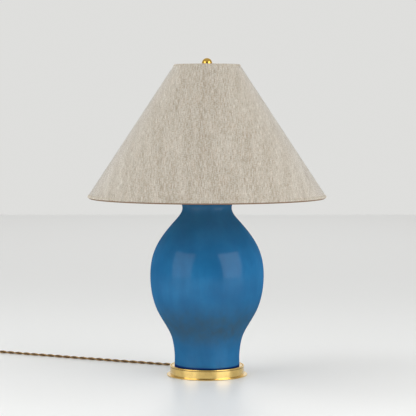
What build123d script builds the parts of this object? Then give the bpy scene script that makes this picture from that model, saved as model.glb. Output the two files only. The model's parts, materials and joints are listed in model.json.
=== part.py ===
from build123d import *
import os
from math import atan2, cos, degrees, hypot, pi, radians, sin, sqrt, tan

# Ginger jar table lamp: a glazed jar on a turned brass base, with a lamp pipe through it, a harp,
# a turn-knob socket and bulb, and a tapered linen shade held by a ball finial.
# Millimetres. +Z is up, the origin is the middle of the base on the table, and -Y is the front.

os.makedirs("parts", exist_ok=True)

# ---------------------------------------------------------------- clearances and fits
seat_gap = 0.1            # between flat faces of pieces that move apart
loose_gap = 0.3           # between curved pieces that pass each other
bore_clearance = 0.1      # radial, a rod or stud in its hole

# ---------------------------------------------------------------- base
felt_radius = 90.0
felt_thickness = 1.5
felt_proud = 0.3          # of the felt below the foot flange, which it is let into
flange_radius = 94.9      # foot flange of the brass base
flange_height = 2.3
flange_fillet = 0.6
drum_radius = 86.7
plinth_height = 22.6      # underside of the flange to the jar's seat
bead_radius = 1.6         # rounded rim at the top of the drum
bead_overhang = 0.9       # of the rim outside the drum
bead_rise = 0.6           # top of the rim above the jar's seat
groove_width = 1.4        # between the rim and the seat
groove_depth = 2.2
plinth_wall = 2.2
plinth_top_thickness = 3.0

# ---------------------------------------------------------------- jar
jar_foot_radius = 76.4
jar_foot_chamfer = 1.2
jar_stations = [          # height above the foot, outer radius
    (13.1, 76.0),
    (45.0, 78.2),
    (69.1, 83.7),
    (101.1, 100.4),
    (133.1, 118.1),
    (165.1, 128.3),
    (212.6, 133.1),
    (253.1, 128.6),
    (285.1, 116.4),
    (317.1, 95.0),
    (341.1, 74.6),
    (360.0, 60.3),
    (370.6, 57.8),
    (379.1, 60.2),
]
jar_lip_radius = 65.0     # outermost point of the rolled lip
jar_lip_height = 387.6    # its height above the foot
jar_wall = 6.0
jar_floor_thickness = 7.0
jar_foot_recess_radius = 67.0
jar_foot_recess_depth = 3.0
jar_rod_hole_radius = 6.0

# ---------------------------------------------------------------- cap, lamp pipe and neck
gasket_width = 5.0
gasket_thickness = 1.0
cap_radius = 66.0
cap_thickness = 1.5
cap_rise = 9.0            # crown of the cap above its rim
cap_crown_radius = 15.0
rod_radius = 4.9          # lamp pipe
rod_bore_radius = 3.4
rod_end_below_nut = 1.5
rod_into_socket = 7.5
washer_radius = 19.0
washer_thickness = 1.6
nut_across_flats = 17.0
nut_height = 4.8
check_ring_radius = 13.0
check_ring_thickness = 2.5
neck_radius = 11.0
neck_waist_radius = 8.0
neck_height = 18.0
lock_nut_across_flats = 15.0
lock_nut_height = 3.0

# ---------------------------------------------------------------- harp
saddle_thickness = 2.0
saddle_width = 14.0
harp_leg_offset = 33.5    # axis of the lamp to the axis of a leg
ear_radius = 3.5
ear_height = 14.0
harp_wire_radius = 1.8
harp_leg_clearance = 0.2
harp_leg_height = 38.0    # straight part of a leg above the saddle
harp_shoulder_radius = 90.0
harp_shoulder_turn = 25.0   # degrees outward from vertical
harp_waist_turn = 35.0      # degrees inward, where the side arc meets the top arc
harp_height = 252.5       # saddle to the axis of the wire at the top
harp_top_flat = 9.0       # half of the straight wire under the disc
harp_pad_length = 20.0
harp_pad_width = 11.0
harp_pad_thickness = 3.6
sleeve_radius = 4.5
sleeve_wall = 0.7
sleeve_length = 16.0
stud_disc_radius = 12.0
stud_disc_thickness = 2.0
stud_radius = 3.05
stud_length = 12.0        # above the disc
stud_shank_radius = 2.3
stud_rivet_radius = 4.0
stud_rivet_height = 1.5

# ---------------------------------------------------------------- socket
socket_cap_radius = 17.0
socket_cap_height = 17.5
socket_cap_wall = 0.8
socket_hub_radius = 7.5
socket_hub_height = 9.0
socket_shell_wall = 0.6
socket_shell_height = 45.0
socket_shell_overlap = 7.0  # length of shell inside the cap
socket_bead_radius = 0.7
insulator_wall = 0.8
block_bottom_height = 14.0  # above the bottom of the socket
block_stem_radius = 8.6
block_stem_height = 9.5
block_disc_height = 8.0
screw_shell_inner_radius = 13.5
screw_shell_wall = 0.4
screw_shell_height = 20.0
contact_radius = 4.5
contact_thickness = 0.8
contact_dome_radius = 2.4
contact_dome_height = 1.6
terminal_radius = 3.0
terminal_length = 3.6
terminal_height = 5.5       # above the bottom of the block
knob_height = 22.0          # axis of the switch above the bottom of the socket
knob_stem_radius = 2.0
knob_stem_depth = 6.0       # of the stem inside the block's disc or stem
knob_radius = 6.0
knob_length = 13.0
knob_gap = 9.0              # bare stem between the shell and the knob

# ---------------------------------------------------------------- bulb
bulb_contact_radius = 4.6
bulb_contact_height = 1.4
bulb_insulator_height = 3.4
bulb_insulator_radius = 9.6
bulb_cap_radius = 13.15
bulb_cap_wall = 0.45
bulb_cap_height = 22.0
bulb_thread_pitch = 3.629
bulb_thread_depth = 0.6
bulb_thread_turns = 4
bulb_radius = 30.0
bulb_length = 107.0
bulb_glass_wall = 1.0
bulb_neck_rise = 14.0       # cap to the flare of the glass
bulb_neck_radius = 16.0

# ---------------------------------------------------------------- shade
shade_bottom_radius = 279.4
shade_bottom_height = 420.4  # end of the slant above the table
shade_top_radius = 76.2
shade_height = 308.2
trim_thickness = 0.4
trim_width = 6.0
trim_fold = 1.4              # of the bottom trim below the end of the slant
trim_turn_in = 1.0           # inner leaf at the top rim, which stays above the arms
linen_thickness = 0.7
liner_thickness = 0.6
layer_gap = 0.2
ring_wire_radius = 1.5
arm_wire_radius = 1.4
arm_count = 3
arm_knee_radius = 56.0       # where an arm stops falling and runs level to the hub
arm_bend_radius = 14.0
hub_radius = 13.0
hub_thickness = 3.2
finial_washer_radius = 9.0
finial_washer_thickness = 1.5
finial_ball_radius = 12.15
finial_foot_radius = 8.0
finial_foot_height = 1.6
finial_neck_radius = 4.6
finial_height = 30.4         # underside of the foot to the top of the ball
finial_thread_depth = 9.0

# ---------------------------------------------------------------- cord, bushing, plug and tie
cord_diameter = 7.0          # two twisted cloth-covered strands, over both
cord_exit_angle = 121.0      # around the base from +X
cord_exit_height = 12.0
bushing_length = 20.0        # outside the drum
bushing_root_radius = 5.2
bushing_tip_radius = 4.3
bushing_shank_radius = 4.4
bushing_inner_radius = 5.6
bushing_inner_length = 3.0
wire_radius = 1.5            # each insulated conductor inside the lamp
wire_spacing = 3.2
wire_floor_height = 4.4      # axis of the wires under the pipe
wire_bend_radius = 8.0
wire_slope_start = 52.0      # from the lamp's axis, where the wires begin to drop to the floor of the base
wire_slope_end = 24.0
wire_slope_bend = 24.0
wire_rise = 3.6              # above the pipe, before the wires part
wire_parting_bend = 2.4
wire_terminal_offset = 11.2
cord_layer_rise = 7.6        # coil: from one layer to the next
cord_turn_pitch = 7.7        # coil: from one turn to the next
coil_inner_radius = 24.6
coil_half_turns = 5          # in each of the two layers
coil_lead_in = (-571.0, 366.5)   # the cord runs from here straight into the coil
coil_start = (-586.0, 374.5)
coil_tail = 16.0             # straight end that keeps the plug off the turns
tie_width = 9.0
tie_thickness = 0.8
tie_gap = 0.3
plug_length = 32.0
plug_back_radius = 6.2
plug_rib_depth = 0.8
plug_rib_count = 3
blade_length = 16.0
blade_width = 6.35
blade_wide_width = 7.94
blade_thickness = 1.5
blade_spacing = 12.7

# ---------------------------------------------------------------- heights worked out from the above
plinth_bottom_z = felt_proud
flange_top_z = plinth_bottom_z + flange_height
seat_z = plinth_bottom_z + plinth_height
plate_under_z = seat_z - plinth_top_thickness
bottom_nut_z = plate_under_z - washer_thickness - nut_height
rod_bottom_z = bottom_nut_z - rod_end_below_nut

lip_z = seat_z + jar_lip_height
jar_lip_roll = (jar_wall + 1.0) / 2
jar_top_z = lip_z + jar_lip_roll
lip_crest_radius = jar_lip_radius - jar_lip_roll

gasket_top_z = jar_top_z + gasket_thickness
cap_crown_z = gasket_top_z + cap_rise
cap_top_z = cap_crown_z + cap_thickness
neck_z = cap_top_z + check_ring_thickness
lock_nut_z = neck_z + neck_height
saddle_z = lock_nut_z + lock_nut_height
saddle_top_z = saddle_z + saddle_thickness

socket_z = saddle_top_z
rod_top_z = socket_z + rod_into_socket
shell_bottom_z = socket_z + socket_cap_height - socket_shell_overlap
shell_top_z = shell_bottom_z + socket_shell_height
block_z = socket_z + block_bottom_height
block_disc_z = block_z + block_stem_height
block_top_z = block_disc_z + block_disc_height
shell_outer_radius = socket_cap_radius - socket_cap_wall - layer_gap
insulator_radius = shell_outer_radius - socket_shell_wall - layer_gap

bulb_z = block_top_z + contact_thickness + contact_dome_height + loose_gap
bulb_cap_z = bulb_z + bulb_contact_height + bulb_insulator_height
bulb_cap_top_z = bulb_cap_z + bulb_cap_height
bulb_centre_z = bulb_z + bulb_length - bulb_radius

harp_leg_bottom_z = saddle_top_z + 1.0
harp_leg_top_z = saddle_top_z + harp_leg_height
harp_top_z = saddle_top_z + harp_height
pad_top_z = harp_top_z + harp_pad_thickness / 2
disc_z = pad_top_z + seat_gap
disc_top_z = disc_z + stud_disc_thickness
stud_top_z = disc_top_z + stud_length
hub_z = disc_top_z + seat_gap
hub_top_z = hub_z + hub_thickness
finial_washer_z = hub_top_z + seat_gap
finial_z = finial_washer_z + finial_washer_thickness + seat_gap
finial_centre_z = finial_z + finial_height - finial_ball_radius


# ---------------------------------------------------------------- helpers
standing = (Align.CENTER, Align.CENTER, Align.MIN)   # a cylinder or cone that rises from its own plane


def save(shape, name):
    export_step(shape, "parts/" + name + ".step")


def turned(outline):
    """Solid of revolution about the lamp's axis; the outline holds (radius, height) edges."""
    return revolve(Plane.XZ * make_face(outline), Axis.Z)


def turned_polygon(points):
    return turned(Polyline(*points, close=True))


def tube_between(outer_radius, inner_radius, low_z, high_z):
    height = high_z - low_z
    outer = Pos(0, 0, low_z) * Cylinder(outer_radius, height, align=standing)
    inner = Pos(0, 0, low_z - 1) * Cylinder(inner_radius, height + 2, align=standing)
    return outer - inner


def post_between(radius, low_z, high_z):
    return Pos(0, 0, low_z) * Cylinder(radius, high_z - low_z, align=standing)


def hex_nut(across_flats, bore_radius, low_z, height):
    blank = extrude(Pos(0, 0, low_z) * RegularPolygon(across_flats / 2, 6, major_radius=False), height)
    corner_radius = across_flats / sqrt(3)
    crown = Pos(0, 0, low_z) * Cone(corner_radius + height * 0.6, corner_radius * 0.9, height, align=standing)
    return blank & crown - post_between(bore_radius, low_z - 1, low_z + height + 1)


def round_tube(path, radius):
    """Round wire or tube swept along a path of lines and tangent arcs."""
    section = Plane(path @ 0, z_dir=path % 0) * Circle(radius)
    return sweep(section, path)


# ---------------------------------------------------------------- base
def make_felt_pad():
    return post_between(felt_radius, 0, felt_thickness)


def make_base_plinth():
    flange_round = flange_height / 2
    flange_flat_radius = flange_radius - flange_round
    bead_outer = drum_radius + bead_overhang
    bead_inner = bead_outer - 2 * bead_radius
    bead_z = seat_z + bead_rise - bead_radius
    bead_foot_z = bead_z - sqrt(bead_radius**2 - (bead_radius - bead_overhang) ** 2)
    step_radius = bead_inner - groove_width
    groove_z = seat_z - groove_depth
    recess_radius = felt_radius + loose_gap
    cavity_radius = drum_radius - plinth_wall
    rod_hole = rod_radius + bore_clearance
    fillet_start = (drum_radius + flange_fillet, flange_top_z)
    fillet_end = (drum_radius, flange_top_z + flange_fillet)
    outline = Polyline(
        (cavity_radius, felt_thickness),
        (recess_radius, felt_thickness),
        (recess_radius, plinth_bottom_z),
        (flange_flat_radius, plinth_bottom_z),
    )
    outline += ThreePointArc(
        (flange_flat_radius, plinth_bottom_z),
        (flange_radius, plinth_bottom_z + flange_round),
        (flange_flat_radius, flange_top_z),
    )
    outline += Line((flange_flat_radius, flange_top_z), fillet_start)
    outline += RadiusArc(fillet_start, fillet_end, flange_fillet)
    outline += Line(fillet_end, (drum_radius, bead_foot_z))
    bead_centre = bead_outer - bead_radius
    bead_top = (bead_centre, bead_z + bead_radius)
    outline += ThreePointArc((drum_radius, bead_foot_z), (bead_outer, bead_z), bead_top)
    outline += ThreePointArc(
        bead_top,
        (bead_centre - bead_radius * cos(pi / 4), bead_z + bead_radius * sin(pi / 4)),
        (bead_inner, bead_z),
    )
    outline += Polyline(
        (bead_inner, bead_z),
        (bead_inner, groove_z),
        (step_radius, groove_z),
        (step_radius, seat_z - 0.5),
        (step_radius - 0.5, seat_z),
        (rod_hole, seat_z),
        (rod_hole, plate_under_z),
        (cavity_radius - 1.5, plate_under_z),
        (cavity_radius, plate_under_z - 1.5),
        (cavity_radius, felt_thickness),
    )
    plinth = turned(outline)
    exit_hole = Rot(0, 0, cord_exit_angle) * Pos(drum_radius, 0, cord_exit_height) * Rot(0, 90, 0) * Cylinder(
        bushing_shank_radius + bore_clearance, 4 * plinth_wall
    )
    return plinth - exit_hole


def make_bottom_washer():
    hole = rod_radius + bore_clearance
    return tube_between(washer_radius, hole, plate_under_z - washer_thickness, plate_under_z)


def make_bottom_nut():
    return hex_nut(nut_across_flats, rod_radius + bore_clearance, bottom_nut_z, nut_height)


# ---------------------------------------------------------------- jar
def make_jar():
    outer = [(radius, seat_z + height) for height, radius in jar_stations]
    inner = [(radius - jar_wall, z) for radius, z in outer]
    foot_top = seat_z + jar_foot_chamfer
    floor_z = seat_z + jar_foot_recess_depth + jar_floor_thickness
    recess_z = seat_z + jar_foot_recess_depth
    lip_inner = jar_lip_radius - 2 * jar_lip_roll
    inner_foot_radius = jar_foot_radius - jar_wall
    outline = Polyline(
        (jar_foot_recess_radius, seat_z),
        (jar_foot_radius - jar_foot_chamfer, seat_z),
        (jar_foot_radius, foot_top),
    )
    outline += Spline((jar_foot_radius, foot_top), *outer, (jar_lip_radius, lip_z), tangents=[(0, 1), (0, 1)])
    outline += ThreePointArc((jar_lip_radius, lip_z), (lip_crest_radius, jar_top_z), (lip_inner, lip_z))
    inner_points = [(lip_inner, lip_z), *reversed(inner), (inner_foot_radius, floor_z)]
    outline += Spline(*inner_points, tangents=[(0, -1), (0, -1)])
    outline += Polyline(
        (inner_foot_radius, floor_z),
        (jar_rod_hole_radius, floor_z),
        (jar_rod_hole_radius, recess_z),
        (jar_foot_recess_radius, recess_z),
        (jar_foot_recess_radius, seat_z),
    )
    return turned(outline)


# ---------------------------------------------------------------- cap, pipe and neck
def make_cap_gasket():
    half_width = gasket_width / 2
    return tube_between(lip_crest_radius + half_width, lip_crest_radius - half_width, jar_top_z, gasket_top_z)


def make_vase_cap():
    rim_inner = lip_crest_radius - gasket_width / 2 - 1.5
    rod_hole = rod_radius + bore_clearance
    rise_radius = rim_inner - 3.0
    rim_flat_radius = cap_radius - cap_thickness / 2
    rim_top_z = gasket_top_z + cap_thickness
    outline = Polyline((rise_radius, gasket_top_z), (rim_flat_radius, gasket_top_z))
    outline += ThreePointArc(
        (rim_flat_radius, gasket_top_z),
        (cap_radius, gasket_top_z + cap_thickness / 2),
        (rim_flat_radius, rim_top_z),
    )
    outline += Line((rim_flat_radius, rim_top_z), (rise_radius, rim_top_z))
    outline += Spline((rise_radius, rim_top_z), (cap_crown_radius, cap_top_z), tangents=[(-0.6, 1), (-1, 0)])
    outline += Polyline(
        (cap_crown_radius, cap_top_z),
        (rod_hole, cap_top_z),
        (rod_hole, cap_crown_z),
        (cap_crown_radius, cap_crown_z),
    )
    outline += Spline(
        (cap_crown_radius, cap_crown_z), (rise_radius, gasket_top_z), tangents=[(1, 0), (0.6, -1)]
    )
    return turned(outline)


def make_threaded_rod():
    return tube_between(rod_radius, rod_bore_radius, rod_bottom_z, rod_top_z)


def make_check_ring():
    hole = rod_radius + bore_clearance
    half = check_ring_thickness / 2
    flat_radius = check_ring_radius - half
    outline = Polyline((flat_radius, neck_z), (hole, neck_z), (hole, cap_top_z), (flat_radius, cap_top_z))
    outline += ThreePointArc(
        (flat_radius, cap_top_z), (check_ring_radius, cap_top_z + half), (flat_radius, neck_z)
    )
    return turned(outline)


def make_neck_tube():
    hole = rod_radius + bore_clearance
    top_z = neck_z + neck_height
    mid_z = neck_z + neck_height / 2
    collar = 2.0
    outline = Polyline(
        (neck_radius, top_z - collar),
        (neck_radius, top_z),
        (hole, top_z),
        (hole, neck_z),
        (neck_radius, neck_z),
        (neck_radius, neck_z + collar),
    )
    outline += Spline(
        (neck_radius, neck_z + collar), (neck_waist_radius, mid_z), (neck_radius, top_z - collar),
        tangents=[(-1, 0.8), (1, 0.8)],
    )
    return turned(outline)


def make_lock_nut():
    return hex_nut(lock_nut_across_flats, rod_radius + bore_clearance, lock_nut_z, lock_nut_height)


# ---------------------------------------------------------------- harp
def make_harp_saddle():
    plate = extrude(SlotCenterToCenter(2 * harp_leg_offset, saddle_width), saddle_thickness)
    saddle = Pos(0, 0, saddle_z) * plate
    ear_top_z = saddle_top_z + ear_height
    ear = post_between(ear_radius, saddle_z, ear_top_z)
    bore = post_between(harp_wire_radius + harp_leg_clearance, saddle_top_z, ear_top_z + 1)
    for side in (-1, 1):
        saddle += Pos(side * harp_leg_offset, 0, 0) * ear
    for side in (-1, 1):
        saddle -= Pos(side * harp_leg_offset, 0, 0) * bore
    return saddle - post_between(rod_radius + bore_clearance, saddle_z - 1, saddle_top_z + 1)


def harp_side_radii():
    """Radii of the side arc and the top arc that bring the wire level at the harp's top."""
    a = radians(harp_shoulder_turn)
    b = radians(-harp_waist_turn)
    across = harp_leg_offset + harp_shoulder_radius * (1 - cos(a)) - harp_top_flat
    along = harp_top_z - harp_leg_top_z - harp_shoulder_radius * sin(a)
    # the two arcs together cover both distances: two equations, solved for their radii
    side_across = cos(a) - cos(b)
    side_along = sin(a) - sin(b)
    top_across = cos(b)
    top_along = sin(b) + 1
    determinant = side_across * top_along - top_across * side_along
    side_radius = (across * top_along - top_across * along) / determinant
    top_radius = (side_across * along - side_along * across) / determinant
    return side_radius, top_radius


def harp_half_path():
    side_radius, top_radius = harp_side_radii()
    leg = Line((harp_leg_offset, harp_leg_bottom_z), (harp_leg_offset, harp_leg_top_z))
    shoulder = JernArc(leg @ 1, leg % 1, harp_shoulder_radius, -harp_shoulder_turn)
    side = JernArc(shoulder @ 1, shoulder % 1, side_radius, harp_shoulder_turn + harp_waist_turn)
    top = JernArc(side @ 1, side % 1, top_radius, 90 - harp_waist_turn)
    flat = Line(top @ 1, (0, harp_top_z))
    return leg + shoulder + side + top + flat


def make_harp_bow():
    half = Plane.XZ * harp_half_path()
    half_wire = Wire(half.edges())
    section = Plane((harp_leg_offset, 0, harp_leg_bottom_z), z_dir=(0, 0, 1)) * Circle(harp_wire_radius)
    right = sweep(section, half_wire)
    bow = right + mirror(right, about=Plane.YZ)
    pad = Pos(0, 0, harp_top_z) * Box(harp_pad_length, harp_pad_width, harp_pad_thickness)
    bow += fillet(pad.edges().filter_by(Axis.Z), harp_pad_width / 2 - 0.5)
    hole_radius = stud_shank_radius + bore_clearance
    return bow - post_between(hole_radius, harp_top_z - harp_pad_thickness, pad_top_z + 1)


def make_harp_sleeve(side):
    low_z = saddle_top_z + seat_gap
    sleeve = tube_between(sleeve_radius, sleeve_radius - sleeve_wall, low_z, low_z + sleeve_length)
    return Pos(side * harp_leg_offset, 0, 0) * sleeve


def make_harp_stud():
    rivet_top_z = harp_top_z - harp_pad_thickness / 2 - seat_gap
    rivet = post_between(stud_rivet_radius, rivet_top_z - stud_rivet_height, rivet_top_z)
    shank = post_between(stud_shank_radius, rivet_top_z - stud_rivet_height / 2, disc_top_z)
    disc = post_between(stud_disc_radius, disc_z, disc_top_z)
    disc = fillet(disc.edges().group_by(Axis.Z)[-1], stud_disc_thickness * 0.4)
    stud = post_between(stud_radius, disc_z, stud_top_z)
    stud = chamfer(stud.edges().group_by(Axis.Z)[-1], 0.5)
    return rivet + shank + disc + stud


# ---------------------------------------------------------------- socket
def make_socket_cap():
    top_z = socket_z + socket_cap_height
    inner = socket_cap_radius - socket_cap_wall
    corner = 5.0
    corner_z = socket_z + corner
    floor_edge = socket_cap_radius - corner
    floor_z = socket_z + socket_cap_wall
    bore = rod_radius + bore_clearance
    outline = Polyline((bore, socket_z), (floor_edge, socket_z))
    outline += RadiusArc((floor_edge, socket_z), (socket_cap_radius, corner_z), -corner)
    outline += Polyline(
        (socket_cap_radius, corner_z), (socket_cap_radius, top_z), (inner, top_z), (inner, corner_z)
    )
    outline += RadiusArc((inner, corner_z), (floor_edge, floor_z), corner - socket_cap_wall)
    outline += Polyline(
        (floor_edge, floor_z),
        (socket_hub_radius, floor_z),
        (socket_hub_radius, socket_z + socket_hub_height),
        (bore, socket_z + socket_hub_height),
        (bore, socket_z),
    )
    return turned(outline)


def switch_hole(radius):
    """Hole towards the front for the switch stem."""
    bottom = block_stem_radius - knob_stem_depth - seat_gap
    hole = Cylinder(radius, 2 * socket_cap_radius, align=standing)
    return Pos(0, -bottom, socket_z + knob_height) * Rot(90, 0, 0) * hole


def make_socket_shell():
    inner = shell_outer_radius - socket_shell_wall
    shell = tube_between(shell_outer_radius, inner, shell_bottom_z, shell_top_z)
    rim = Pos(0, 0, shell_top_z) * Torus(shell_outer_radius - socket_shell_wall / 2, socket_bead_radius)
    return shell + rim - switch_hole(knob_stem_radius + loose_gap)


def make_socket_insulator():
    inner = insulator_radius - insulator_wall
    sleeve = tube_between(insulator_radius, inner, shell_bottom_z + 1.0, shell_top_z - 2.0)
    return sleeve - switch_hole(knob_stem_radius + loose_gap)


def make_socket_block():
    disc_radius = insulator_radius - insulator_wall - layer_gap
    block = post_between(block_stem_radius, block_z, block_disc_z)
    block += post_between(disc_radius, block_disc_z, block_top_z)
    return block - switch_hole(knob_stem_radius + bore_clearance)


def make_screw_shell():
    inner = screw_shell_inner_radius
    return tube_between(inner + screw_shell_wall, inner, block_top_z, block_top_z + screw_shell_height)


def make_centre_contact():
    base = post_between(contact_radius, block_top_z, block_top_z + contact_thickness)
    dome = Pos(0, 0, block_top_z) * Cone(
        contact_dome_radius, contact_dome_radius / 2, contact_thickness + contact_dome_height,
        align=standing,
    )
    return base + dome


def make_terminal_screws():
    screws = []
    for side_angle in (cord_exit_angle - 90, cord_exit_angle + 90):
        head = Rot(0, 90, 0) * Cylinder(terminal_radius, terminal_length, align=standing)
        head = Rot(0, 0, side_angle) * Pos(block_stem_radius, 0, block_z + terminal_height) * head
        screws.append(head - post_between(block_stem_radius, block_z, block_disc_z))
    return Compound(children=screws)


def make_switch_knob():
    """Stem and knob of the switch, in one piece, on an axis that runs to the front."""
    start = block_stem_radius - knob_stem_depth
    knob_start = socket_cap_radius + knob_gap
    stem = Cylinder(knob_stem_radius, knob_start - start + 1, align=standing)
    knob = Pos(0, 0, knob_start - start) * Cone(
        knob_radius * 0.8, knob_radius, knob_length, align=standing
    )
    knob = fillet(knob.edges().group_by(Axis.Z)[-1], 1.5)
    for step in range(8):
        groove = Rot(0, 0, 45 * step) * Pos(knob_radius + 0.8, 0, knob_start - start + knob_length / 2)
        knob -= groove * Cylinder(1.4, knob_length + 2)
    return Pos(0, -start, socket_z + knob_height) * Rot(90, 0, 0) * (stem + knob)


# ---------------------------------------------------------------- bulb
def make_bulb_contact():
    tip = post_between(bulb_contact_radius, bulb_z, bulb_z + bulb_contact_height)
    return fillet(tip.edges().group_by(Axis.Z)[0], 0.9)


def make_bulb_insulator():
    low_z = bulb_z + bulb_contact_height
    return Pos(0, 0, low_z) * Cone(
        bulb_contact_radius, bulb_insulator_radius, bulb_insulator_height, align=standing
    )


def make_bulb_screw_cap():
    """Thin brass cap with rolled thread ridges round it."""
    crest = bulb_cap_radius
    root = bulb_cap_radius - bulb_thread_depth
    half = bulb_thread_pitch / 2
    first_z = bulb_cap_z + 2.0
    outline = Polyline((bulb_insulator_radius, bulb_cap_z), (root, first_z))
    z = first_z
    for turn in range(bulb_thread_turns):
        outline += ThreePointArc((root, z), (crest, z + half), (root, z + 2 * half))
        z += 2 * half
    outline += Polyline(
        (root, z),
        (root, bulb_cap_top_z),
        (root - bulb_cap_wall, bulb_cap_top_z),
        (root - bulb_cap_wall, first_z + bulb_cap_wall),
        (bulb_insulator_radius, bulb_cap_z + bulb_cap_wall),
        (bulb_insulator_radius, bulb_cap_z),
    )
    return turned(outline)


def make_bulb_glass():
    inner_end = bulb_cap_radius - bulb_thread_depth - bulb_cap_wall - layer_gap
    low_z = bulb_cap_top_z - 5.0
    flare_z = bulb_cap_top_z + bulb_neck_rise
    wall = bulb_glass_wall
    top_z = bulb_centre_z + bulb_radius
    waist = bulb_radius * cos(pi / 4)
    inner_radius = bulb_radius - wall
    inner_waist = inner_radius * cos(pi / 4)
    stem_z = bulb_cap_top_z + 0.5
    outline = Line((inner_end, low_z), (inner_end, stem_z))
    outline += Spline(
        (inner_end, stem_z),
        (bulb_neck_radius, flare_z),
        (bulb_radius, bulb_centre_z),
        tangents=[(0.2, 1), (0, 1)],
    )
    outline += ThreePointArc((bulb_radius, bulb_centre_z), (waist, bulb_centre_z + waist), (0, top_z))
    outline += Line((0, top_z), (0, top_z - wall))
    outline += ThreePointArc(
        (0, top_z - wall), (inner_waist, bulb_centre_z + inner_waist), (inner_radius, bulb_centre_z)
    )
    outline += Spline(
        (inner_radius, bulb_centre_z),
        (bulb_neck_radius - wall, flare_z),
        (inner_end - wall, stem_z),
        tangents=[(0, -1), (-0.2, -1)],
    )
    outline += Polyline((inner_end - wall, stem_z), (inner_end - wall, low_z), (inner_end, low_z))
    return turned(outline)


# ---------------------------------------------------------------- shade
shade_run = shade_top_radius - shade_bottom_radius
shade_slant = hypot(shade_run, shade_height)


def on_slant(along, out):
    """Point of the shade's section: along the slant from the bottom rim, and out from its face."""
    direction = (shade_run / shade_slant, shade_height / shade_slant)
    normal = (direction[1], -direction[0])
    radius = shade_bottom_radius + along * direction[0] + out * normal[0]
    height = shade_bottom_height + along * direction[1] + out * normal[1]
    return (radius, height)


linen_out = -(trim_thickness + layer_gap)
liner_out = linen_out - linen_thickness - layer_gap
ring_out = liner_out - liner_thickness - loose_gap - ring_wire_radius
ring_along = trim_thickness + loose_gap + ring_wire_radius
trim_in = ring_out - ring_wire_radius - loose_gap - trim_thickness


def make_cone_layer(out, thickness):
    low = trim_thickness + layer_gap
    high = shade_slant - low
    inner = out - thickness
    corners = [(low, out), (high, out), (high, inner), (low, inner)]
    return turned_polygon([on_slant(along, layer_out) for along, layer_out in corners])


def make_bottom_trim():
    """Tape folded round the rim, with an upright edge below the slant."""
    t = trim_thickness
    inner_radius, inner_height = on_slant(0, trim_in)
    return turned_polygon(
        [
            (shade_bottom_radius, shade_bottom_height - trim_fold),
            on_slant(0, 0),
            on_slant(trim_width, 0),
            on_slant(trim_width, -t),
            on_slant(t, -t),
            on_slant(t, trim_in + t),
            on_slant(trim_width, trim_in + t),
            on_slant(trim_width, trim_in),
            (inner_radius, inner_height),
            (inner_radius, inner_height - trim_fold),
        ]
    )


def make_top_trim():
    t = trim_thickness
    top = shade_slant
    return turned_polygon(
        [
            on_slant(top, 0),
            on_slant(top - trim_width, 0),
            on_slant(top - trim_width, -t),
            on_slant(top - t, -t),
            on_slant(top - t, trim_in + t),
            on_slant(top - trim_turn_in, trim_in + t),
            on_slant(top - trim_turn_in, trim_in),
            on_slant(top, trim_in),
        ]
    )


def make_bottom_ring():
    radius, height = on_slant(ring_along, ring_out)
    return Pos(0, 0, height) * Torus(radius, ring_wire_radius)


def make_shade_fitter():
    """Top ring with arms down to a flat hub, all welded together."""
    radius, height = on_slant(shade_slant - ring_along, ring_out)
    arm_z = hub_z + hub_thickness / 2
    fitter = Pos(0, 0, height) * Torus(radius, ring_wire_radius)
    arm_points = [(radius, 0, height), (arm_knee_radius, 0, arm_z), (hub_radius / 2, 0, arm_z)]
    arm = round_tube(FilletPolyline(*arm_points, radius=arm_bend_radius), arm_wire_radius)
    for step in range(arm_count):
        fitter += Rot(0, 0, 90 + 360 / arm_count * step) * arm
    fitter += post_between(hub_radius, hub_z, hub_top_z)
    return fitter - post_between(stud_radius + loose_gap, hub_z - 1, hub_top_z + 1)


def make_finial_washer():
    top_z = finial_washer_z + finial_washer_thickness
    return tube_between(finial_washer_radius, stud_radius + loose_gap, finial_washer_z, top_z)


def make_finial():
    ball = Pos(0, 0, finial_centre_z) * Sphere(finial_ball_radius)
    foot = post_between(finial_foot_radius, finial_z, finial_z + finial_foot_height)
    foot = fillet(foot.edges(), finial_foot_height * 0.35)
    neck_low_z = finial_z + finial_foot_height / 2
    neck_high_z = finial_centre_z - finial_ball_radius * 0.9
    neck = post_between(finial_neck_radius, neck_low_z, neck_high_z)
    hole = post_between(stud_radius + bore_clearance, finial_z - 1, finial_z + finial_thread_depth)
    return ball + foot + neck - hole


# ---------------------------------------------------------------- cord bushing and inner wires
def from_axis(distance, sideways, height):
    """Point in the vertical plane of the cord's exit, with an offset to its side."""
    a = radians(cord_exit_angle)
    return (distance * cos(a) - sideways * sin(a), distance * sin(a) + sideways * cos(a), height)


bushing_start = drum_radius + bore_clearance
bushing_tip = bushing_start + bushing_length


def make_cord_bushing():
    bore = cord_diameter / 2
    wall_inside = drum_radius - plinth_wall - 3 * bore_clearance
    inner_end = wall_inside - bushing_inner_length
    outline = Polyline(
        (bore, inner_end),
        (bushing_inner_radius, inner_end),
        (bushing_inner_radius, wall_inside),
        (bushing_shank_radius, wall_inside),
        (bushing_shank_radius, bushing_start + bore_clearance),
        (bushing_root_radius, bushing_start + bore_clearance),
        (bushing_root_radius, bushing_start + 4.0),
        (bushing_tip_radius, bushing_tip),
        (bore, bushing_tip),
        close=True,
    )
    body = turned(outline)
    return Rot(0, 0, cord_exit_angle) * Pos(0, 0, cord_exit_height) * Rot(0, 90, 0) * body


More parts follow.
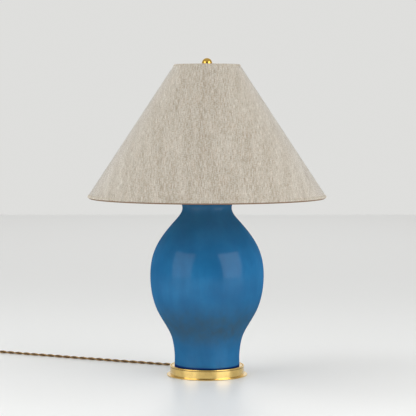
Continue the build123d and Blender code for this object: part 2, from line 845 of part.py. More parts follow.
def make_inner_wire(side):
    """Insulated conductor from the bushing, under the pipe, up through it and out to its terminal."""
    offset = side * wire_spacing / 2
    turn_z = rod_top_z + wire_rise
    end_z = block_z + terminal_height - terminal_radius - loose_gap
    path = FilletPolyline(
        from_axis(bushing_tip - loose_gap, offset, cord_exit_height),
        from_axis(wire_slope_start, offset, cord_exit_height),
        from_axis(wire_slope_end, offset, wire_floor_height),
        from_axis(0, offset, wire_floor_height),
        from_axis(0, offset, turn_z),
        from_axis(0, side * wire_terminal_offset, turn_z),
        from_axis(0, side * wire_terminal_offset, end_z),
        radius=[wire_slope_bend, wire_slope_bend, wire_bend_radius, wire_parting_bend, wire_parting_bend],
    )
    return round_tube(path, wire_radius)


# ---------------------------------------------------------------- free cord, coil, tie and plug
coil_start_angle = degrees(atan2(coil_start[1] - coil_lead_in[1], coil_start[0] - coil_lead_in[0]))
tie_lift = tie_thickness + tie_gap
coil_axis_z = tie_lift + cord_diameter / 2
cord_floor_z = cord_diameter / 2

cord_route = [
    from_axis(bushing_tip, 0, cord_exit_height),
    (-60.8, 101.1, cord_exit_height),
    (-71.2, 112.8, 8.4),
    (-87.1, 124.4, 4.9),
    (-112.0, 141.6, cord_floor_z),
    (-158.0, 165.8, cord_floor_z),
    (-212.8, 190.0, cord_floor_z),
    (-263.8, 217.0, cord_floor_z),
    (-331.0, 247.8, cord_floor_z),
    (-392.0, 280.8, cord_floor_z),
    (-446.6, 306.6, cord_floor_z),
    (-514.0, 341.6, cord_floor_z),
    (-546.0, 355.0, cord_floor_z + 0.3),
    (coil_lead_in[0], coil_lead_in[1], coil_axis_z),
    (coil_start[0], coil_start[1], coil_axis_z),
]


def corner_radii(points):
    """Each corner's arc takes 0.45 of its shorter run."""
    radii = []
    for before, here, after in zip(points, points[1:], points[2:]):
        come = Vector(*here) - Vector(*before)
        go = Vector(*after) - Vector(*here)
        turn = radians(come.get_angle(go))
        radii.append(0.45 * min(come.length, go.length) / tan(turn / 2))
    return radii


def print_tube(name, path, tube):
    expected = pi * (cord_diameter / 2) ** 2 * path.length
    print(name, "length", round(path.length, 1))
    print(name, "volume over section times length", round(tube.volume / expected, 5))


def make_cord():
    radii = corner_radii(cord_route)
    print("cord radii", [round(r) for r in radii])
    path = FilletPolyline(*cord_route, radius=radii)
    tube = round_tube(path, cord_diameter / 2)
    print_tube("cord", path, tube)
    return tube


def coil_edges():
    """Half turns that spiral in, climb a layer in one half turn, and spiral out again."""
    heading = radians(coil_start_angle)
    step = cord_turn_pitch / 2
    start = Vector(coil_start[0], coil_start[1], coil_axis_z)
    edges = []
    straight_end = start + Vector(cos(heading), sin(heading), 0) * cord_diameter
    edges.append(Edge.make_line(start, straight_end))
    place = straight_end
    radii = [coil_inner_radius + step * (coil_half_turns - k) for k in range(coil_half_turns)]
    for radius in radii:
        place, heading = add_half_turn(edges, place, heading, radius)
    place, heading = add_climb(edges, place, heading, coil_inner_radius)
    for radius in reversed(radii):
        place, heading = add_half_turn(edges, place, heading, radius)
    end = place + Vector(cos(heading), sin(heading), 0) * coil_tail
    edges.append(Edge.make_line(place, end))
    return edges, end, heading


def add_half_turn(edges, place, heading, radius):
    """Two level quarter turns to the left."""
    forward = Vector(cos(heading), sin(heading), 0)
    left = Vector(-sin(heading), cos(heading), 0)
    quarter = place + (forward + left) * radius
    half = place + left * (2 * radius)
    edges.append(Edge.make_tangent_arc(place, forward, quarter))
    edges.append(Edge.make_tangent_arc(quarter, left, half))
    return half, heading + pi


def add_climb(edges, place, heading, radius):
    """Two arcs that turn to the left by half a turn and rise by one layer."""
    forward = Vector(cos(heading), sin(heading), 0)
    left = Vector(-sin(heading), cos(heading), 0)
    rise = Vector(0, 0, cord_layer_rise)
    reach = sqrt(radius**2 + (cord_layer_rise / 2) ** 2)
    middle = place + left * radius + forward * reach + rise / 2
    end = place + left * (2 * radius) + rise
    first = Edge.make_tangent_arc(place, forward, middle)
    edges.append(first)
    edges.append(Edge.make_tangent_arc(middle, first % 1, end))
    return end, heading + pi


coil_path_edges, coil_end, coil_end_heading = coil_edges()


def make_cord_coil():
    path = Wire(coil_path_edges)
    section = Plane(coil_path_edges[0] @ 0, z_dir=coil_path_edges[0] % 0) * Circle(cord_diameter / 2)
    tube = sweep(section, path)
    print_tube("coil", path, tube)
    print("coil least gap to itself", round(least_gap(path), 3))
    return tube


def least_gap(path):
    """Smallest distance between turns of the coil, measured on points 3 mm apart."""
    count = int(path.length / 3)
    points = [path @ (k / count) for k in range(count + 1)]
    apart = int(4 * cord_diameter / 3)
    least = path.length
    for first in range(count + 1):
        for second in range(first + apart, count + 1):
            least = min(least, (points[first] - points[second]).length)
    return least - cord_diameter


def make_cord_tie():
    """Flat strap closed round all the turns, on the side of the coil that the cord runs towards."""
    heading = radians(coil_start_angle)
    half_pitch = cord_turn_pitch / 2
    inmost = coil_inner_radius + half_pitch
    outmost = coil_inner_radius + half_pitch * coil_half_turns
    forward = Vector(cos(heading), sin(heading), 0)
    left = Vector(-sin(heading), cos(heading), 0)
    middle = Vector(coil_start[0], coil_start[1], 0) + forward * cord_diameter + left * (outmost + half_pitch)
    edge_reach = half_pitch + tie_width / 2
    inner = sqrt(inmost**2 - edge_reach**2) - cord_diameter / 2 - tie_gap
    outer = outmost + cord_diameter / 2 + tie_gap
    low_z = tie_lift - tie_gap
    high_z = tie_lift + cord_diameter + cord_layer_rise + tie_gap
    width = outer - inner
    height = high_z - low_z
    corner = cord_diameter / 3
    hole = extrude(RectangleRounded(width, height, corner), tie_width / 2, both=True)
    outside = RectangleRounded(width + 2 * tie_thickness, height + 2 * tie_thickness, corner + tie_thickness)
    strap = extrude(outside, tie_width / 2, both=True)
    loop = Pos((inner + outer) / 2, 0, (low_z + high_z) / 2) * Rot(90, 0, 0) * (strap - hole)
    return Pos(middle.X, middle.Y, 0) * Rot(0, 0, coil_start_angle) * loop


def plug_frame():
    """Turns a piece drawn along +X from the cord's end to where the plug lies."""
    return Pos(*coil_end) * Rot(0, 0, degrees(coil_end_heading))


plug_face_radius = coil_axis_z + cord_layer_rise


def make_plug_body():
    waist = (plug_back_radius, plug_length * 0.35)
    shoulder = (plug_face_radius, plug_length * 0.75)
    outline = Polyline((0, 0), (plug_back_radius, 0), waist)
    outline += Spline(waist, shoulder, tangents=[(0.1, 1), (0.1, 1)])
    outline += Polyline(
        shoulder,
        (plug_face_radius, plug_length - 1),
        (plug_face_radius - 1, plug_length),
        (0, plug_length),
        (0, 0),
    )
    body = turned(outline)
    for rib in range(plug_rib_count):
        z = plug_length * 0.1 + rib * 3.0
        body -= tube_between(plug_back_radius + 1, plug_back_radius - plug_rib_depth, z, z + 1.2)
    return plug_frame() * Rot(0, 90, 0) * body


def make_plug_blades():
    blades = []
    for side, width in ((-1, blade_width), (1, blade_wide_width)):
        blade = Pos(blade_length / 2, 0, 0) * Box(blade_length, blade_thickness, width)
        blade = fillet(blade.edges().filter_by(Axis.Y).group_by(Axis.X)[-1], 1.5)
        blade -= Pos(blade_length - 4.5, 0, 0) * Rot(90, 0, 0) * Cylinder(1.6, 6)
        blades.append(plug_frame() * Pos(plug_length, side * blade_spacing / 2, 0) * blade)
    return Compound(children=blades)


# ---------------------------------------------------------------- write every piece
pieces = {
    "felt_pad": make_felt_pad(),
    "base_plinth": make_base_plinth(),
    "bottom_washer": make_bottom_washer(),
    "bottom_nut": make_bottom_nut(),
    "jar": make_jar(),
    "cap_gasket": make_cap_gasket(),
    "vase_cap": make_vase_cap(),
    "threaded_rod": make_threaded_rod(),
    "check_ring": make_check_ring(),
    "neck_tube": make_neck_tube(),
    "lock_nut": make_lock_nut(),
    "harp_saddle": make_harp_saddle(),
    "harp_bow": make_harp_bow(),
    "harp_sleeve_left": make_harp_sleeve(-1),
    "harp_sleeve_right": make_harp_sleeve(1),
    "harp_stud": make_harp_stud(),
    "socket_cap": make_socket_cap(),
    "socket_shell": make_socket_shell(),
    "socket_insulator": make_socket_insulator(),
    "socket_block": make_socket_block(),
    "socket_screw_shell": make_screw_shell(),
    "socket_centre_contact": make_centre_contact(),
    "socket_terminal_screws": make_terminal_screws(),
    "switch_knob": make_switch_knob(),
    "bulb_contact": make_bulb_contact(),
    "bulb_insulator": make_bulb_insulator(),
    "bulb_screw_cap": make_bulb_screw_cap(),
    "bulb_glass": make_bulb_glass(),
    "shade_linen": make_cone_layer(linen_out, linen_thickness),
    "shade_liner": make_cone_layer(liner_out, liner_thickness),
    "shade_bottom_trim": make_bottom_trim(),
    "shade_top_trim": make_top_trim(),
    "shade_bottom_ring": make_bottom_ring(),
    "shade_fitter": make_shade_fitter(),
    "finial_washer": make_finial_washer(),
    "finial": make_finial(),
    "cord_bushing": make_cord_bushing(),
    "wire_live": make_inner_wire(1),
    "wire_neutral": make_inner_wire(-1),
    "cord": make_cord(),
    "cord_coil": make_cord_coil(),
    "cord_tie": make_cord_tie(),
    "plug_body": make_plug_body(),
    "plug_blades": make_plug_blades(),
}

for name, shape in pieces.items():
    save(shape, name)
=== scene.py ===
import json
from math import atan2, cos, hypot, pi, radians, sin, sqrt

import bpy
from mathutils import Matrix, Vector, noise


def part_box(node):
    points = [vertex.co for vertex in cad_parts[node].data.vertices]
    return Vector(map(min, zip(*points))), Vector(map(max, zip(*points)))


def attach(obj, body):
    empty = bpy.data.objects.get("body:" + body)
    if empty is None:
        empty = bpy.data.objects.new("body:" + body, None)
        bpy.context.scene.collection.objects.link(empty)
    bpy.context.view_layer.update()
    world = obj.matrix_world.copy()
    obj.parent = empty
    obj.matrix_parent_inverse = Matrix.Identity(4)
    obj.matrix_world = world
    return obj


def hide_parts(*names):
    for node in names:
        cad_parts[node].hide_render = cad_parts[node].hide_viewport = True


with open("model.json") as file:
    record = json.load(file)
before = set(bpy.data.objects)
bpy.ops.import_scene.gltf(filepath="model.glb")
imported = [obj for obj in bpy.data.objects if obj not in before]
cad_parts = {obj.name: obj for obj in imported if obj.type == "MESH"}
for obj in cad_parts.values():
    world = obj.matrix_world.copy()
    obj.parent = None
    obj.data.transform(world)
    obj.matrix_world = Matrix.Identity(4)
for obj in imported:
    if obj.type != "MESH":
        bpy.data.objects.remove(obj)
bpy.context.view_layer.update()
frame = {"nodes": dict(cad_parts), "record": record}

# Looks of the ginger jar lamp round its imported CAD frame. Metres, +Z up, origin on the table at the lamp's
# axis, front towards -Y. Sizes taken from part.py are in millimetres and are multiplied by MM where used.

MM = 0.001


# ================================================================ camera
CAMERA_LENS = 144.8          # millimetres
CAMERA_SENSOR = 36.0         # width of the sensor, millimetres
CAMERA_PLACE = (0.0023, -3.911, 0.6224)
CAMERA_PITCH = 3.36          # degrees down
CAMERA_CLIP = (0.05, 50.0)   # nearest and furthest that it sees


def make_camera():
    data = bpy.data.cameras.new("camera")
    data.lens = CAMERA_LENS
    data.sensor_width = CAMERA_SENSOR
    data.clip_start, data.clip_end = CAMERA_CLIP
    camera = bpy.data.objects.new("camera", data)
    camera.location = CAMERA_PLACE
    camera.rotation_euler = (radians(90 - CAMERA_PITCH), 0, 0)
    bpy.context.scene.collection.objects.link(camera)
    bpy.context.scene.camera = camera


make_camera()


# ================================================================ mesh helpers
def add_mesh(name, vertices, faces, smooth_angle=40):
    """New object from vertices and faces, smooth except at edges sharper than smooth_angle, in degrees."""
    mesh = bpy.data.meshes.new(name)
    mesh.from_pydata([tuple(v) for v in vertices], [], faces)
    mesh.validate()
    mesh.update()
    mesh.shade_smooth()
    mesh.set_sharp_from_angle(angle=radians(smooth_angle))
    made = bpy.data.objects.new(name, mesh)
    bpy.context.scene.collection.objects.link(made)
    return made


def tube_faces(rings, count, first=0):
    """Quads between successive closed rings of count vertices each, numbered on from first."""
    quads = []
    for ring in range(rings - 1):
        start = first + ring * count
        for k in range(count):
            a = start + k
            b = start + (k + 1) % count
            quads.append((a, b, b + count, a + count))
    return quads


def place(piece, body, material, slot, *replaced):
    """Gives a new piece its material and body, and hides the CAD nodes that it stands for; slot is not used.
    """
    piece.data.materials.clear()
    piece.data.materials.append(material)
    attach(piece, body)
    if replaced:
        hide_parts(*replaced)


def store_vectors(mesh, name, vectors):
    """Keeps one vector a vertex for the material to read."""
    layer = mesh.attributes.new(name, "FLOAT_VECTOR", "POINT")
    for item, value in zip(layer.data, vectors):
        item.vector = value


# ================================================================ material helpers
class Finish:
    """One node material, built a node at a time. Noise scales are per metre, bump distances in metres."""

    def __init__(self, name):
        self.material = bpy.data.materials.new(name)
        self.material.use_nodes = True
        self.tree = self.material.node_tree
        self.shader = self.tree.nodes["Principled BSDF"]
        self.coords = None

    def add(self, kind, sockets=(), **settings):
        made = self.tree.nodes.new("ShaderNode" + kind)
        for key, value in settings.items():
            setattr(made, key, value)
        for key, value in dict(sockets).items():
            self.put(made.inputs[key], value)
        return made

    def put(self, socket, value):
        if isinstance(value, bpy.types.NodeSocket):
            self.tree.links.new(value, socket)
        else:
            socket.default_value = value

    def set(self, **values):
        """Sets the shader's own sockets, with _ for a space."""
        for key, value in values.items():
            self.put(self.shader.inputs[key.replace("_", " ")], value)
        return self

    def place(self):
        """The object's own coordinates, which are the frame's at rest."""
        if self.coords is None:
            self.coords = self.add("TexCoord").outputs["Object"]
        return self.coords

    def stored(self, name):
        return self.add("Attribute", attribute_name=name).outputs["Vector"]

    def scaled(self, vector, scale):
        return self.add("Mapping", {"Vector": vector, "Scale": scale}).outputs["Vector"]

    def noise(self, vector, scale, detail=2.0, roughness=0.5, distortion=0.0):
        sockets = {"Vector": vector, "Scale": scale, "Detail": detail}
        sockets.update(Roughness=roughness, Distortion=distortion)
        return self.add("TexNoise", sockets).outputs["Fac"]

    def math(self, operation, first, second=0.0, clamp=False):
        made = self.add("Math", operation=operation, use_clamp=clamp)
        self.put(made.inputs[0], first)
        self.put(made.inputs[1], second)
        return made.outputs[0]

    def range(self, value, source, target=(0.0, 1.0), kind="LINEAR"):
        """A value carried from the span source to the span target, and held at its ends."""
        made = self.add("MapRange", interpolation_type=kind)
        sockets = ("Value", "From Min", "From Max", "To Min", "To Max")
        for key, number in zip(sockets, (value, *source, *target)):
            self.put(made.inputs[key], number)
        return made.outputs["Result"]

    def ramp(self, value, *stops):
        """Colour ramp from (position, colour) stops."""
        made = self.add("ValToRGB", {"Fac": value})
        elements = made.color_ramp.elements
        while len(elements) < len(stops):
            elements.new(1.0)
        for element, (position, colour) in zip(elements, stops):
            element.position = position
            element.color = (*colour, 1.0)
        return made.outputs["Color"]

    def mix(self, factor, first, second):
        made = self.add("Mix", data_type="RGBA")
        self.put(made.inputs["Factor"], factor)
        for key, colour in (("A", first), ("B", second)):
            self.put(made.inputs[key], colour if isinstance(colour, bpy.types.NodeSocket) else (*colour, 1.0))
        return made.outputs["Result"]

    def split(self, vector):
        made = self.add("SeparateXYZ", {"Vector": vector})
        return made.outputs["X"], made.outputs["Y"], made.outputs["Z"]

    def join(self, x, y, z):
        made = self.add("CombineXYZ")
        for key, value in zip("XYZ", (x, y, z)):
            self.put(made.inputs[key], value)
        return made.outputs["Vector"]

    def bump(self, height, distance, strength=1.0, under=None):
        """Normal raised by a height, over the bump that is given as under."""
        sockets = {"Height": height, "Distance": distance, "Strength": strength}
        if under is not None:
            sockets["Normal"] = under
        return self.add("Bump", sockets).outputs["Normal"]


# ================================================================ glazed jar
# Heights on the jar, in metres above the table.
GLAZE_POOL_SPAN = (0.0250, 0.0285)       # the dark pool at the foot fades out
GLAZE_REFLECTION_IN = (0.060, 0.118)          # painted reflection of a wooden table, greenish-brown and mottled, comes in
GLAZE_REFLECTION_OUT = (0.118, 0.195)         # and goes out again
GLAZE_SHADE_SPAN = (0.300, 0.400)         # painted shade of the lampshade, a greyer blue, comes in towards the neck
GLAZE_LIP_SPAN = (0.402, 0.412)          # thin, paler glaze over the rolled lip
GLAZE_POOL_WANDER = 0.0010               # up and down, of the edges of the pool and the lip
GLAZE_BLUES = ((0.30, (0.011, 0.115, 0.268)), (0.52, (0.016, 0.143, 0.325)), (0.75, (0.024, 0.178, 0.388)))
GLAZE_STREAK = (0.010, 0.080, 0.210)
GLAZE_SPECK = (0.008, 0.065, 0.180)
# colour of the painted reflection of a wooden table
GLAZE_TABLE_REFLECTION = (0.040, 0.082, 0.112)
# colour of the painted shade of the lampshade
GLAZE_SHADE_GREY = (0.036, 0.090, 0.125)
GLAZE_POOL = (0.0015, 0.028, 0.175)
GLAZE_THIN = (0.030, 0.140, 0.250)


def make_blue_glaze():
    """Blue glaze, cloudy, streaked and specked, pooled at the foot; painted reflection at the waist, painted
    shade at the neck.

    Its gloss is a thin coat of a high index alone, so it stays even from the jar's middle to its sides.
    """
    f = Finish("blue_glaze")
    z = f.split(f.place())[2]
    cloud = f.noise(f.place(), 9.0, detail=3.0, roughness=0.55)
    streak = f.noise(f.scaled(f.place(), (1, 1, 0.18)), 42.0, detail=3.0, roughness=0.6)
    speck = f.noise(f.place(), 480.0, roughness=0.6)
    body = f.ramp(cloud, *GLAZE_BLUES)
    body = f.mix(f.range(streak, (0.35, 0.75), (0.0, 0.35)), body, GLAZE_STREAK)
    body = f.mix(f.range(speck, (0.60, 0.75), (0.0, 0.35)), body, GLAZE_SPECK)

    height = f.math("ADD", z, f.range(cloud, (0.3, 0.7), (-GLAZE_POOL_WANDER, GLAZE_POOL_WANDER)))
    # painted reflection of a wooden table, mottled, across the waist
    coming = f.range(z, GLAZE_REFLECTION_IN, kind="SMOOTHSTEP")
    going = f.range(z, GLAZE_REFLECTION_OUT, (1.0, 0.0), "SMOOTHSTEP")
    mottle = f.noise(f.scaled(f.place(), (1, 1, 0.8)), 48.0, detail=4.0, roughness=0.6, distortion=0.4)
    table_reflection = f.math("MULTIPLY", f.math("MULTIPLY", coming, going), f.range(mottle, (0.30, 0.70), (0.35, 0.80)))
    body = f.mix(table_reflection, body, GLAZE_TABLE_REFLECTION)
    # painted shade of the lampshade, greying the blue towards the neck
    body = f.mix(f.range(z, GLAZE_SHADE_SPAN, (0.0, 0.34), "SMOOTHSTEP"), body, GLAZE_SHADE_GREY)
    body = f.mix(f.range(height, GLAZE_POOL_SPAN, (1.0, 0.0), "SMOOTHSTEP"), body, GLAZE_POOL)
    body = f.mix(f.range(height, GLAZE_LIP_SPAN, (0.0, 0.5), "SMOOTHSTEP"), body, GLAZE_THIN)

    ripple = f.noise(f.scaled(f.place(), (1, 1, 1.8)), 14.0)
    orange_peel = f.noise(f.place(), 160.0)
    normal = f.bump(orange_peel, 0.00010, strength=0.30, under=f.bump(ripple, 0.0016, strength=0.30))
    f.set(Base_Color=body, Roughness=f.range(cloud, (0.3, 0.7), (0.11, 0.17)), Normal=normal)
    f.set(Specular_IOR_Level=0.0, Coat_Weight=0.056, Coat_IOR=3.5, Coat_Roughness=0.14, Coat_Normal=normal)
    return f.material


# ================================================================ metals, mouldings, felt, glass
BRASS_TINT = (0.930, 0.660, 0.235)
BRASS_DARK = (0.360, 0.180, 0.035)
# colour of the painted shade in the groove under the base's bead
BRASS_GROOVE_SHADE = (0.120, 0.055, 0.012)
RIM_GROOVE_SHADE = (0.0186, 0.0200, 0.0208)    # heights where the painted shade in the base's groove starts, is darkest, ends


def make_brass(name, tint, dark, rough, lines, patina, groove=None):
    """Brass with fine turning lines round the lamp's axis, soft patina and handling marks.

    lines is the depth of the turning lines, patina the share of the dark tone, groove the three
    heights of a groove, which is darkened between them as painted shade.
    """
    f = Finish(name)
    x, y, z = f.split(f.place())
    radius = f.math("SQRT", f.math("ADD", f.math("MULTIPLY", x, x), f.math("MULTIPLY", y, y)))
    turning = f.noise(f.join(radius, z, 0.0), 2600.0, roughness=0.6)
    cloud = f.noise(f.place(), 55.0, detail=4.0, roughness=0.6)
    spots = f.noise(f.place(), 300.0, detail=3.0, roughness=0.6)
    colour = f.mix(f.range(cloud, (0.42, 0.78), (0.0, patina)), tint, dark)
    colour = f.mix(f.range(spots, (0.66, 0.80), (0.0, patina)), colour, dark)
    if groove:
        low, middle, high = groove
        # painted shade in the groove under the base's bead
        amount = f.math("MULTIPLY", f.range(z, (low, middle)), f.range(z, (middle, high), (1.0, 0.0)))
        colour = f.mix(amount, colour, BRASS_GROOVE_SHADE)
    smear = f.range(f.noise(f.place(), 130.0, detail=3.0, roughness=0.55), (0.3, 0.75), (-0.05, 0.07))
    relief = f.math("ADD", f.math("MULTIPLY", turning, lines), spots)
    f.set(Base_Color=colour, Metallic=1.0, Roughness=f.math("ADD", smear, rough, clamp=True))
    f.set(Normal=f.bump(relief, 0.00003, strength=0.5))
    return f.material


def make_steel():
    """Zinc-plated steel, faintly mottled."""
    f = Finish("zinc_steel")
    cloud = f.noise(f.place(), 220.0, detail=3.0, roughness=0.6)
    colour = f.ramp(cloud, (0.3, (0.36, 0.36, 0.35)), (0.7, (0.58, 0.58, 0.56)))
    f.set(Base_Color=colour, Metallic=1.0, Roughness=f.range(cloud, (0.3, 0.7), (0.28, 0.45)))
    f.set(Normal=f.bump(cloud, 0.00004, strength=0.5))
    return f.material


def make_plain(name, low, high, rough, scale=260.0, bump=0.00005, **values):
    """Moulded or pressed material: two tones of one colour, a fine grain and uneven gloss."""
    f = Finish(name)
    grain = f.noise(f.place(), scale, detail=3.0, roughness=0.6)
    broad = f.noise(f.place(), scale / 9)
    tone = f.math("ADD", f.math("MULTIPLY", grain, 0.5), f.math("MULTIPLY", broad, 0.5))
    f.set(Base_Color=f.ramp(tone, (0.35, low), (0.65, high)))
    f.set(Roughness=f.range(broad, (0.3, 0.7), (rough - 0.06, rough + 0.06)))
    f.set(Normal=f.bump(grain, bump, strength=0.6), **values)
    return f.material


def make_felt():
    """Dark green pressed felt."""
    f = Finish("felt")
    fibre = f.noise(f.place(), 900.0, detail=4.0, roughness=0.7)
    lump = f.noise(f.place(), 90.0, detail=3.0, roughness=0.6)
    tone = f.math("ADD", f.math("MULTIPLY", fibre, 0.6), f.math("MULTIPLY", lump, 0.4))
    f.set(Base_Color=f.ramp(tone, (0.3, (0.012, 0.022, 0.014)), (0.7, (0.045, 0.065, 0.045))))
    f.set(Roughness=0.95, Sheen_Weight=0.4, Sheen_Roughness=0.5, Normal=f.bump(fibre, 0.0005, strength=0.8))
    return f.material


def make_opal_glass():
    """White bulb glass, lightly scattering."""
    f = Finish("opal_glass")
    cloud = f.noise(f.place(), 60.0)
    f.set(Base_Color=f.ramp(cloud, (0.3, (0.80, 0.80, 0.78)), (0.7, (0.88, 0.88, 0.86))))
    f.set(Roughness=f.range(cloud, (0.3, 0.7), (0.28, 0.36)), IOR=1.5, Coat_Weight=0.2)
    f.set(Subsurface_Weight=0.3, Subsurface_Radius=(0.01, 0.01, 0.01))
    return f.material


# ================================================================ cloths
LINEN_PALE = (0.620, 0.585, 0.515)
LINEN_MID = (0.452, 0.408, 0.338)
LINEN_DARK = (0.296, 0.247, 0.186)
LINEN_BROWN = (0.300, 0.195, 0.115)
LINEN_SLUB = (0.700, 0.675, 0.615)
LINEN_ROSE = (0.560, 0.410, 0.300)
EDGE_GLUE_AND_SHADOW = (0.240, 0.145, 0.078)
WARP_PHASE = 9600.0          # radians of the weave in a metre across the warp
WEFT_PHASE = 9000.0          # and across the weft
BRAID_PHASE = 5200.0         # radians of the braid in a metre along a strand
BRAID_THREADS = 8.0          # of each direction, round a strand
CORD_GOLDS = ((0.0, (0.090, 0.036, 0.006)), (0.55, (0.310, 0.150, 0.034)), (1.0, (0.600, 0.360, 0.105)))
CORD_SOIL = (0.130, 0.070, 0.030)
# colour of the painted shade between the strands
CORD_GROOVE_SHADE = (0.028, 0.010, 0.002)


def linen_colour(f, flat):
    """Slubby weave in the cloth's own flat coordinates, in metres: (colour, height)."""
    thread = f.noise(f.scaled(flat, (1.0, 0.085, 1.0)), 680.0, roughness=0.6)
    fleck = f.noise(f.scaled(flat, (1.0, 0.34, 1.0)), 680.0, roughness=0.6)
    slub = f.noise(f.scaled(flat, (1.0, 0.050, 1.0)), 420.0, roughness=0.6)
    weft = f.noise(f.scaled(flat, (0.34, 1.0, 1.0)), 580.0, roughness=0.6)
    band = f.noise(f.scaled(flat, (1.0, 0.16, 1.0)), 44.0)
    tint = f.noise(f.scaled(flat, (1.0, 0.12, 1.0)), 230.0, roughness=0.6)
    tone = f.math("ADD", f.math("MULTIPLY", thread, 0.46), f.math("MULTIPLY", weft, 0.34))
    tone = f.math("ADD", tone, f.math("MULTIPLY", band, 0.16))
    tone = f.math("ADD", tone, 0.02)
    colour = f.ramp(tone, (0.39, LINEN_DARK), (0.50, LINEN_MID), (0.61, LINEN_PALE))
    colour = f.mix(f.range(fleck, (0.54, 0.72), (0.0, 0.62)), colour, LINEN_BROWN)
    colour = f.mix(f.range(slub, (0.60, 0.74), (0.0, 0.55)), colour, LINEN_SLUB)
    colour = f.mix(f.range(tint, (0.44, 0.68), (0.0, 0.15)), colour, LINEN_ROSE)
    height = f.math("ADD", f.math("ADD", thread, weft), slub)
    return colour, height


def make_linen():
    """Oatmeal linen with the fine grid of its weave under the slubs."""
    f = Finish("linen")
    flat = f.stored("flat")
    colour, height = linen_colour(f, flat)
    u, v, _ = f.split(flat)
    warp = f.math("SINE", f.math("MULTIPLY", u, WARP_PHASE))
    weft = f.math("SINE", f.math("MULTIPLY", v, WEFT_PHASE))
    weave = f.bump(f.math("ADD", warp, weft), 0.00010, strength=0.35)
    f.set(Base_Color=colour, Roughness=0.9, Sheen_Weight=0.85, Sheen_Roughness=0.38)
    f.set(Normal=f.bump(height, 0.00045, strength=0.55, under=weave))
    return f.material


def make_edge_cloth():
    """Linen that turns brown at the very edge of the rim, where glue shows, with painted shadow along it."""
    f = Finish("edge_cloth")
    flat = f.stored("flat")
    colour, height = linen_colour(f, flat)
    edge = f.split(f.stored("edge"))[0]
    wander = f.noise(flat, 300.0)
    amount = f.math("ADD", edge, f.range(wander, (0.3, 0.7), (-0.15, 0.15)), clamp=True)
    # brown edge: glue, with painted shadow of the rolled rim
    colour = f.mix(f.range(amount, (0.50, 0.90)), colour, EDGE_GLUE_AND_SHADOW)
    f.set(Base_Color=colour, Roughness=0.85, Normal=f.bump(height, 0.0003, strength=0.5))
    return f.material


def make_cord_cloth():
    """Braided rayon over each strand: crossing threads, bronze-gold, with painted shade in the groove between
    strands.
    """
    f = Finish("gold_cloth")
    along, around, outward = f.split(f.stored("strand"))
    length = f.math("MULTIPLY", along, BRAID_PHASE)
    turn = f.math("MULTIPLY", around, BRAID_THREADS)
    left = f.math("SINE", f.math("ADD", length, turn))
    right = f.math("SINE", f.math("SUBTRACT", length, turn))
    braid = f.math("MAXIMUM", left, right)
    soil = f.noise(f.place(), 160.0, detail=3.0, roughness=0.6)
    colour = f.ramp(f.range(braid, (-0.6, 1.0)), *CORD_GOLDS)
    colour = f.mix(f.range(soil, (0.40, 0.75), (0.0, 0.35)), colour, CORD_SOIL)
    # painted shade on the side of each strand that faces the other
    colour = f.mix(f.range(outward, (0.20, 0.75), (0.95, 0.0)), colour, CORD_GROOVE_SHADE)
    f.set(Base_Color=colour, Roughness=0.60, Sheen_Weight=0.08, Sheen_Roughness=0.4)
    f.set(Normal=f.bump(braid, 0.00022, strength=0.7))
    return f.material


def make_strap_cloth():
    """Dark ribbed strap."""
    f = Finish("strap_cloth")
    rib = f.noise(f.place(), 1500.0, roughness=0.6)
    f.set(Base_Color=f.ramp(rib, (0.3, (0.010, 0.008, 0.006)), (0.7, (0.045, 0.036, 0.028))), Roughness=0.85)
    f.set(Sheen_Weight=0.2, Normal=f.bump(rib, 0.0003, strength=0.8))
    return f.material


# ================================================================ one finish for each material slot
finishes = {
    "blue_glaze": make_blue_glaze(),
    "base_brass": make_brass(
        "turned_brass", BRASS_TINT, BRASS_DARK, rough=0.15, lines=3.0, patina=0.34, groove=RIM_GROOVE_SHADE),
    "fitting_brass": make_brass(
        "satin_brass", (0.800, 0.580, 0.260), BRASS_DARK, rough=0.30, lines=1.0, patina=0.40),
    "finial_brass": make_brass(
        "polished_brass", (0.820, 0.520, 0.110), (0.560, 0.310, 0.060), rough=0.12, lines=0.5, patina=0.20),
    "contact_brass": make_brass(
        "contact_brass", (0.780, 0.640, 0.380), (0.430, 0.320, 0.160), rough=0.35, lines=0.0, patina=0.5),
    "steel": make_steel(),
    "rubber": make_plain("rubber", (0.010, 0.010, 0.010), (0.030, 0.030, 0.030), rough=0.8),
    "card": make_plain(
        "waxed_card", (0.150, 0.095, 0.050), (0.260, 0.180, 0.105), rough=0.75, scale=400.0, bump=0.0002),
    "phenolic": make_plain(
        "dark_moulding", (0.010, 0.006, 0.005), (0.030, 0.018, 0.014), rough=0.30, scale=180.0),
    "aluminium": make_plain(
        "rolled_aluminium", (0.520, 0.520, 0.510), (0.700, 0.700, 0.690), rough=0.34, scale=300.0,
        bump=0.00003, Metallic=1.0),
    "bushing_plastic": make_plain("brown_moulding", (0.030, 0.014, 0.006), (0.070, 0.036, 0.016), rough=0.45),
    "wire_black": make_plain("black_insulation", (0.008, 0.008, 0.008), (0.020, 0.020, 0.020), rough=0.4),
    "wire_white": make_plain("white_insulation", (0.520, 0.520, 0.500), (0.640, 0.640, 0.620), rough=0.4),
    "plug_plastic": make_plain("plug_moulding", (0.026, 0.012, 0.005), (0.060, 0.031, 0.014), rough=0.42),
    "liner_plastic": make_plain(
        "styrene_liner", (0.700, 0.685, 0.640), (0.790, 0.775, 0.735), rough=0.55, scale=120.0),
    "bulb_black": make_plain("black_glass", (0.004, 0.004, 0.005), (0.012, 0.012, 0.014), rough=0.15),
    "felt": make_felt(),
    "linen": make_linen(),
    "edge_cloth": make_edge_cloth(),
    "gold_cloth": make_cord_cloth(),
    "tie_cloth": make_strap_cloth(),
    "opal_glass": make_opal_glass(),
}


